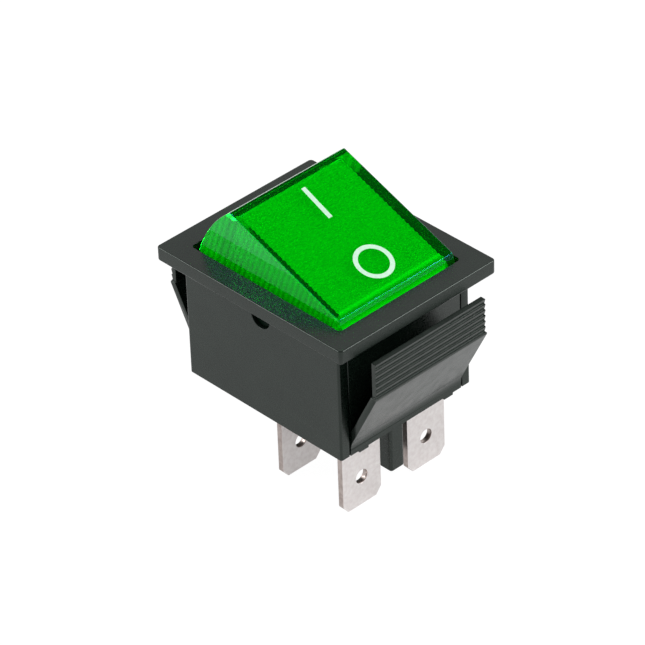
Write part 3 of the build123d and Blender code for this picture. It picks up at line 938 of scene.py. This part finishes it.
    def liner(self, finish: bpy.types.Material) -> bpy.types.Object:
        """Makes the inner walls that show green behind the clear sides and ends, with a painted glow standing
        in for the light the real walls carry.

        Args:
            finish: their material.

        Returns:
            The piece.
        """
        plate_foot = self.height - self.top_plate
        rule = RuleTree(
            "inner_liner",
            {
                "Half Pitch": self.rib_pitch / 2,
                "Depth": self.liner_rib_depth,
                "Columns": 2 * self.liner_rib_count + 1,
                "Middle": float(self.liner_rib_count),
                "Rows": self.liner_rows,
                "Outline Reach": self.skirt_length / 2 - self.liner_gap,
                "Outline Radius": self.end_radius - self.film_lift,
                "Cavity Reach": self.skirt_length / 2 - self.end_wall,
                "Cavity Radius": self.end_radius - self.end_wall - self.liner_gap,
                "Side Place": self.width / 2 - self.side_wall - self.liner_gap - self.liner_rib_depth,
                "Side Top": plate_foot + self.film_lift,
                "Foot": self.liner_foot,
                "Outline Half Width": self.width / 2 - self.liner_gap,
                "Cavity Half Width": self.width / 2 - self.side_wall,
                "Cavity Top": plate_foot - self.rib_depth - self.liner_gap,
                "Lip Radius": self.end_radius - self.end_wall + self.liner_gap,
                "Lip Foot": plate_foot - self.lip_height,
                "Arc Along": self.arc_u,
                "Arc Up": self.arc_w,
                "Push Start": self.push_start,
                "Push": self.side_wall - self.liner_gap,
                "Painted Side Glow": self.painted_side_glow,
                "Painted Stripe Glow": self.painted_stripe_glow,
                "Painted Lip Glow": self.painted_lip_glow,
                "Thickness": self.film_thickness,
            },
        )
        full, lip = ("Foot", "Cavity Top"), ("Lip Foot", "Side Top")
        walls = [
            self.side_sheet(rule, -1.0, "Outline Radius", "Outline Reach"),
            self.side_sheet(rule, 1.0, "Cavity Radius", "Cavity Reach"),
            self.end_sheet(rule, 1.0, "Cavity Radius", "Cavity Half Width", full, 0.0),
            self.end_sheet(rule, -1.0, "Cavity Radius", "Cavity Half Width", full, 0.0),
            # This sheet lies within the +X end wall and only carries a painted strip of light.
            self.end_sheet(rule, 1.0, "Lip Radius", "Outline Half Width", lip, "Painted Lip Glow"),
        ]
        mesh = rule.run(rule.joined(*walls), finish)
        mesh.transform(self.placing(0.0, 0.0, 0.0))
        piece = settle("inner_liner", mesh)
        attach(piece, "rocker")
        return piece

    def mark(self, sign: Mark, finish: bpy.types.Material) -> bpy.types.Object:
        """Prints one sign on the rocker's top: a stroke swept along a line or a ring.

        Args:
            sign: which of the two signs.
            finish: the ink.

        Returns:
            The piece.
        """
        rule = RuleTree(
            sign.value,
            {
                "Stroke": self.mark_stroke,
                "Ink": self.ink_height,
                "Half Length": self.bar_length / 2,
                "Radius": (self.ring_diameter - self.mark_stroke) / 2,
                "Points": self.ring_points,
            },
        )
        stroke = rule.node("GeometryNodeCurvePrimitiveQuadrilateral")
        rule.feed("Stroke", stroke.inputs["Width"])
        rule.feed("Ink", stroke.inputs["Height"])
        if sign is Mark.OFF:
            path = rule.node("GeometryNodeCurvePrimitiveCircle")
            rule.feed("Points", path.inputs["Resolution"])
            rule.feed("Radius", path.inputs["Radius"])
        else:
            path = rule.node("GeometryNodeCurvePrimitiveLine")
            for end, sign_of_end in (("Start", -1.0), ("End", 1.0)):
                tip = rule.position(rule.maths("MULTIPLY", "Half Length", sign_of_end), 0.0, 0.0)
                rule.feed(tip, path.inputs[end])
        upright = rule.node("GeometryNodeSetCurveNormal", mode="Z_UP")
        rule.feed(path.outputs["Curve"], upright.inputs["Curve"])
        mesh = rule.run(rule.swept(upright.outputs["Curve"], stroke.outputs["Curve"]), finish)
        along, across = self.bar_place if sign is Mark.ON else self.ring_place
        level = self.height + self.ink_gap + self.ink_height / 2
        mesh.transform(self.placing(along, across, level) @ Matrix.Rotation(self.mark_turn, 4, "Z"))
        piece = settle(sign.value, mesh)
        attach(piece, "rocker")
        return piece

    def build(self) -> list[bpy.types.Object]:
        """Makes the rocker's pieces.

        Returns:
            The pieces made.
        """
        ink = self.print_finish.build()
        inner = [self.prism_film(self.film_finish.build()), self.liner(self.liner_finish.build())]
        return [self.shell(), *inner, *(self.mark(sign, ink) for sign in Mark)]


@dataclass
class ContactGear:
    """The blades and, inside, the see-saw bridges with their rivets."""

    blade_edge: float = 0.06 * MM
    inner_edge: float = 0.04 * MM
    cut_share: float = 0.7
    tin: Metal = Metal(
        "dull_tin", (0.75, 0.7, 0.69), (0.86, 0.825, 0.815), 3400.0, (1.0, 1.0, 0.6), 0.006 * MM, 0.34, 0.5
    )
    cut: Metal = Metal("punched_edge", (0.4, 0.33, 0.31), (0.6, 0.53, 0.5), 2600.0, (1.0, 1.0, 0.2))
    copper: Metal = Metal("rolled_copper", (0.62, 0.33, 0.2), (0.78, 0.47, 0.32), 2400.0, (0.3, 1.0, 1.0))
    silver: Metal = Metal("contact_silver", (0.74, 0.74, 0.72), (0.86, 0.86, 0.85), 3200.0)

    def build(self) -> list[bpy.types.Object]:
        """Makes the terminals, bridges and contacts of both poles.

        Returns:
            The pieces made.
        """
        tin, copper, silver = self.tin.build(), self.copper.build(), self.silver.build()
        cut = self.cut.build()
        pieces = []
        for side in Side:
            pole = side.value
            bridge = f"bridge_{pole}"
            rows = [
                ("load_terminal", "load_blade", tin, "terminal_tin", "housing", self.blade_edge),
                ("common_terminal", "common_blade", tin, "terminal_tin", "housing", self.blade_edge),
                ("contact_bridge", "bridge_strip", copper, "bridge_copper", bridge, self.inner_edge),
                ("fixed_contact", "fixed_rivet", silver, "contact_silver", "housing", self.inner_edge),
                ("moving_contact", "moving_rivet", silver, "contact_silver", bridge, self.inner_edge),
            ]
            for node, name, finish, slot, body, edge in rows:
                piece = CadCopy(f"{node}_{pole}", edge).build(f"{name}_{pole}", finish)
                if finish is tin:
                    piece.data.materials.append(cut)
                    for face in piece.data.polygons:
                        face.material_index = int(abs(face.normal.x) < self.cut_share)
                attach(piece, body)
                pieces.append(piece)
        return pieces


@dataclass
class PlungerGear:
    """The brass plungers and the coil springs behind them."""

    edge: float = 0.04 * MM
    wire_radius: float = 0.16 * MM
    coil_radius: float = 0.99 * MM
    free_turns: float = 6.0
    closed_turns: float = 1.0
    points_in_turn: int = 28
    wire_points: int = 10
    travel: float = 0.8 * MM
    brass: Metal = Metal("turned_brass", (0.62, 0.44, 0.17), (0.8, 0.62, 0.3), 2600.0)
    steel: Metal = Metal("spring_steel", (0.42, 0.43, 0.45), (0.6, 0.61, 0.63), 3200.0)

    def coil(self, side: Side, rocker: Rocker, finish: bpy.types.Material) -> bpy.types.Object:
        """Winds one spring with closed end turns, in the space its CAD node holds.

        Args:
            side: the pole.
            rocker: the rocker, whose axes the spring follows.
            finish: the wire's material.

        Returns:
            The piece.
        """
        node = f"plunger_spring_{side.value}"
        heights = [rocker.local(vertex.co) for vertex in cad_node(node).data.vertices]
        low, high = min(p.z for p in heights), max(p.z for p in heights)
        middle = (min(p.y for p in heights) + max(p.y for p in heights)) / 2
        turns = self.free_turns + 2 * self.closed_turns
        rule = RuleTree(
            f"coil_{side.value}",
            {
                "Coil Radius": self.coil_radius,
                "Wire Radius": self.wire_radius,
                "Height": high - low - 2 * self.wire_radius,
                "Turns": turns,
                "Closed Turns": self.closed_turns,
                "Points": int(turns * self.points_in_turn),
                "Wire Points": self.wire_points,
            },
        )
        line = rule.node("GeometryNodeMeshLine", mode="OFFSET")
        rule.feed("Points", line.inputs["Count"])
        curve = rule.node("GeometryNodeMeshToCurve")
        rule.feed(line.outputs[0], curve.inputs[0])
        index = rule.node("GeometryNodeInputIndex").outputs[0]
        last = rule.maths("SUBTRACT", "Points", 1.0)
        turned = rule.maths("MULTIPLY", rule.maths("DIVIDE", index, last), "Turns")
        angle = rule.maths("MULTIPLY", turned, math.tau)
        free = rule.maths("SUBTRACT", "Turns", rule.maths("MULTIPLY", "Closed Turns", 2.0))
        risen = rule.maths("DIVIDE", rule.maths("SUBTRACT", turned, "Closed Turns"), free)
        spot = rule.position(
            rule.maths("MULTIPLY", rule.maths("COSINE", angle), "Coil Radius"),
            rule.maths("MULTIPLY", rule.maths("SINE", angle), "Coil Radius"),
            rule.maths("MULTIPLY", rule.held(risen, 0.0, 1.0), "Height"),
        )
        section = rule.node("GeometryNodeCurvePrimitiveCircle")
        rule.feed("Wire Points", section.inputs["Resolution"])
        rule.feed("Wire Radius", section.inputs["Radius"])
        mesh = rule.run(rule.swept(rule.moved(curve.outputs[0], spot), section.outputs["Curve"]), finish)
        mesh.transform(rocker.placing(0.0, middle, low + self.wire_radius))
        piece = settle(f"spring_coil_{side.value}", mesh)
        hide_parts(node)
        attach(piece, "rocker")
        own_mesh(piece)
        return piece

    def build(self, rocker: Rocker) -> list[bpy.types.Object]:
        """Makes both plungers and both springs.

        Args:
            rocker: the rocker that holds them.

        Returns:
            The pieces made.
        """
        brass, steel = self.brass.build(), self.steel.build()
        pieces = []
        for side in Side:
            body = f"plunger_{side.value}"
            nose = CadCopy(body, self.edge).build(f"plunger_nose_{side.value}", brass)
            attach(nose, body)
            pieces += [nose, self.coil(side, rocker, steel)]
        return pieces


@dataclass
class LampCircuit:
    """The lamp, its series resistor and their leads, inside the rocker."""

    edge: float = 0.04 * MM
    sharp_deg: float = 50.0
    glass: LampGlass = field(default_factory=LampGlass)
    body: Lacquer = Lacquer("resistor_lacquer", (0.5, 0.39, 0.24), (0.62, 0.5, 0.32), 0.35)
    sleeve: Lacquer = Lacquer("white_sleeving", (0.76, 0.76, 0.72), (0.86, 0.86, 0.83), 0.5)
    wire: Metal = Metal("tinned_wire", (0.6, 0.59, 0.57), (0.74, 0.73, 0.71), 3000.0)

    def build(self) -> list[bpy.types.Object]:
        """Makes the circuit's pieces.

        Returns:
            The pieces made.
        """
        wire = self.wire.build()
        rows = [
            ("neon_lamp", "lamp_bulb", self.glass.build(), "lamp_glass"),
            ("lamp_resistor", "resistor_barrel", self.body.build(), "resistor_body"),
            ("lead_sleeve", "sleeving", self.sleeve.build(), "lead_sleeve"),
            ("lamp_lead_left", "lead_wire_left", wire, "lead_wire"),
            ("lamp_lead_right", "lead_wire_right", wire, "lead_wire"),
            ("lamp_link_wire", "link_wire", wire, "lead_wire"),
        ]
        pieces = []
        for node, name, finish, slot in rows:
            bevel = 0.0 if slot == "lead_wire" else self.edge
            piece = CadCopy(node, bevel, sharp_deg=self.sharp_deg).build(name, finish)
            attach(piece, "rocker")
            pieces.append(piece)
        return pieces


@dataclass
class CameraRig:
    """The camera, placed as the photograph was taken."""

    azimuth: float = math.radians(47.001)
    elevation: float = math.radians(35.813)
    roll: float = math.radians(-2.184)
    place: Place = (305.52 * MM, -285.76 * MM, 293.66 * MM)
    lens: float = 242.31
    sensor: float = 36.0
    clip_start: float = 0.01

    def build(self) -> None:
        """Makes the scene's camera."""
        level = math.cos(self.elevation)
        back = Vector(
            (math.sin(self.azimuth) * level, -math.cos(self.azimuth) * level, math.sin(self.elevation))
        )
        right = Vector((math.cos(self.azimuth), math.sin(self.azimuth), 0.0))
        up = back.cross(right)
        turned_right = right * math.cos(self.roll) + up * math.sin(self.roll)
        turned_up = up * math.cos(self.roll) - right * math.sin(self.roll)
        data = bpy.data.cameras.new("camera")
        data.lens = self.lens
        data.sensor_width = self.sensor
        data.clip_start = self.clip_start
        camera = put("camera", data)
        turn = Matrix((turned_right, turned_up, back)).transposed().to_4x4()
        camera.matrix_world = Matrix.Translation(Vector(self.place)) @ turn
        bpy.context.scene.camera = camera


@dataclass
class SoftBox:
    """A square lamp that faces the object."""

    name: str
    place: Place
    size: float
    power: float

    def build(self) -> None:
        """Makes the lamp."""
        data = bpy.data.lights.new(self.name, "AREA")
        data.shape = "SQUARE"
        data.size = self.size
        data.energy = self.power
        lamp = put(self.name, data)
        spot = Vector(self.place)
        lamp.matrix_world = Matrix.Translation(spot) @ spot.to_track_quat("Z", "Y").to_matrix().to_4x4()


@dataclass
class Studio:
    """The pale floor, the soft lamps and the white surroundings."""

    floor_half: float = 1.5
    floor_colour: Colour = (0.8, 0.8, 0.8)
    floor_roughness: float = 0.9
    floor_white: float = 1.06
    seen_share: float = 0.93
    mirrored_share: float = 0.45
    lit_by_world: float = 0.5
    mirrored_world: float = 0.76
    mirrored_overhead: float = 0.02
    bright_up_to: float = math.radians(43.0)
    dark_from: float = math.radians(54.0)
    boxes: tuple[SoftBox, ...] = (
        SoftBox("key_box", (-0.33, -0.33, 0.31), 0.26, 1.3),
        SoftBox("rim_box", (0.31, 0.30, 0.32), 0.26, 1.8),
    )

    def ray_share(self, tree: bpy.types.NodeTree, path: bpy.types.Node) -> bpy.types.NodeSocket:
        """A number that is 1 for rays of the camera and for those seen through clear faces."""
        direct, through = path.outputs["Is Camera Ray"], path.outputs["Is Transmission Ray"]
        return shader_maths(tree, "MAXIMUM", direct, through)

    def world(self) -> None:
        """Makes the white surroundings, softer in what they light than in what is seen, and dark overhead."""
        world = bpy.data.worlds.new("surroundings")
        world.use_nodes = True
        tree = world.node_tree
        nodes, links = tree.nodes, tree.links
        path = nodes.new("ShaderNodeLightPath")
        direction = nodes.new("ShaderNodeTexCoord").outputs["Generated"]
        height = nodes.new("ShaderNodeSeparateXYZ")
        links.new(direction, height.inputs[0])
        overhead = nodes.new("ShaderNodeMapRange")
        overhead.inputs["From Min"].default_value = math.sin(self.bright_up_to)
        overhead.inputs["From Max"].default_value = math.sin(self.dark_from)
        overhead.inputs["To Min"].default_value = self.mirrored_world - self.lit_by_world
        overhead.inputs["To Max"].default_value = self.mirrored_overhead - self.lit_by_world
        links.new(height.outputs["Z"], overhead.inputs["Value"])
        glossy, gain = path.outputs["Is Glossy Ray"], overhead.outputs["Result"]
        mirrored = shader_maths(tree, "MULTIPLY_ADD", glossy, gain, self.lit_by_world)
        seen = shader_maths(tree, "MAXIMUM", mirrored, self.ray_share(tree, path))
        links.new(seen, nodes["Background"].inputs["Strength"])
        nodes["Background"].inputs["Color"].default_value = WHITE
        bpy.context.scene.world = world

    def floor(self) -> None:
        """Makes the floor under the blades' tips, white to the camera but for the object's shadow."""
        mesh = bpy.data.meshes.new("floor")
        half, level = self.floor_half, cad_low.z
        corners = [(-half, -half, level), (half, -half, level), (half, half, level), (-half, half, level)]
        mesh.from_pydata(corners, [], [(0, 1, 2, 3)])
        board = ShaderBoard("pale_floor")
        board.set(Base_Color=self.floor_colour, Roughness=self.floor_roughness, Specular_IOR_Level=0.0)
        glow = board.nodes.new("ShaderNodeEmission")
        glow.inputs["Color"].default_value = WHITE
        glow.inputs["Strength"].default_value = self.floor_white
        mix = board.nodes.new("ShaderNodeMixShader")
        tree = board.material.node_tree
        path = board.nodes.new("ShaderNodeLightPath")
        mirrored = shader_maths(tree, "MULTIPLY", path.outputs["Is Glossy Ray"], self.mirrored_share)
        seen = shader_maths(tree, "MULTIPLY_ADD", self.ray_share(tree, path), self.seen_share, mirrored)
        board.links.new(seen, mix.inputs[0])
        board.links.new(board.shader.outputs[0], mix.inputs[1])
        board.links.new(glow.outputs[0], mix.inputs[2])
        board.links.new(mix.outputs[0], board.output.inputs["Surface"])
        mesh.materials.append(board.material)
        floor = put("floor", mesh)

    def build(self) -> None:
        """Makes the studio."""
        self.world()
        self.floor()
        for box in self.boxes:
            box.build()
        bpy.context.scene.view_settings.view_transform = "Standard"


def main() -> None:
    """Builds the camera, the switch's sub-assemblies in order, and the studio."""
    logging.basicConfig(level=logging.INFO, format="%(name)s: %(message)s")
    CameraRig().build()
    rocker = Rocker()
    pieces = [
        *Housing().build(),
        *rocker.build(),
        *ContactGear().build(),
        *PlungerGear().build(rocker),
        *LampCircuit().build(),
    ]
    Studio().build()


if __name__ == "__main__":
    main()
